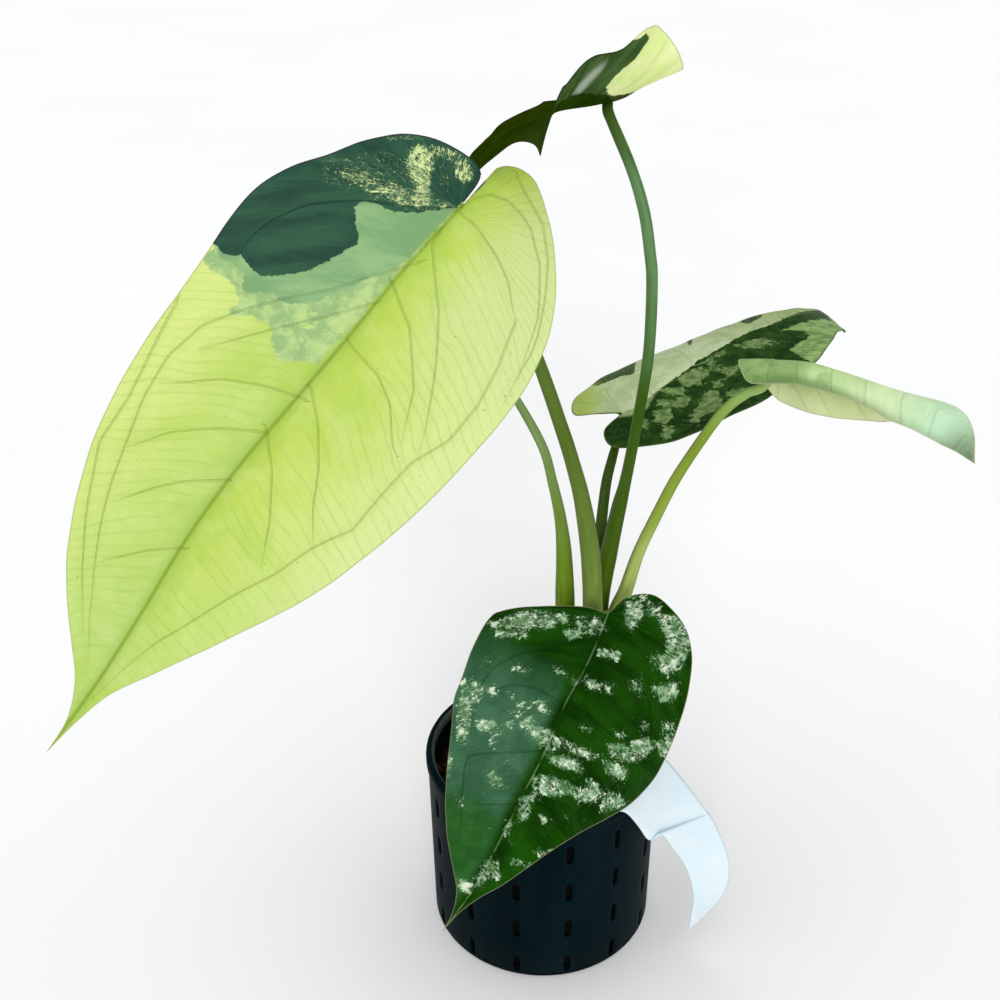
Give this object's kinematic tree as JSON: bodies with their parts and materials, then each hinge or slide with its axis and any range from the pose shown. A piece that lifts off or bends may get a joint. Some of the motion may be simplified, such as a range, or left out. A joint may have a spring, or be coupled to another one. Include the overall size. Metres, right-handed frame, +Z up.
{
  "type": "potted arrowhead vine",
  "caption": "Small houseplant in a round nursery pot: heart-shaped variegated leaves on long stalks rise from a short stem in potting mix, with a plain label over the rim.",
  "frame": {"origin": "centre of the pot's underside, on the surface that the pot rests on", "axes": "+Z up; -Y towards the viewer of the picture, so that the large lime leaf hangs towards -X and -Y; +X to the viewer's right"},
  "size_m": [0.3272, 0.2709, 0.4134],
  "materials": {
    "pot_plastic": "slightly glossy, blue-black",
    "potting_mix": "rough, moist",
    "stem_tissue": "satin",
    "petiole_tissue": "satin",
    "blade_lime": "satin, veined, lime with a dark lobe",
    "blade_half_cream": "glossy dark green with a cream lobe",
    "blade_grey_cream": "satin, half grey-cream, half dark green",
    "blade_mint": "satin, pale mint",
    "blade_speckled": "glossy dark green with cream speckles",
    "blade_rear": "satin, green with lime patches",
    "label_plastic": "satin white"
  },
  "bodies": {
    "root": {"pot": "pot_plastic", "potting_mix": "potting_mix", "stem": "stem_tissue", "petiole_a": "petiole_tissue", "petiole_b": "petiole_tissue", "petiole_c": "petiole_tissue", "petiole_d": "petiole_tissue", "petiole_e": "petiole_tissue", "petiole_f": "petiole_tissue", "blade_a": "blade_lime", "blade_b": "blade_half_cream", "blade_c": "blade_grey_cream", "blade_d": "blade_mint", "blade_e": "blade_speckled", "blade_f": "blade_rear", "plant_label": "label_plastic"}
  },
  "joints": []
}
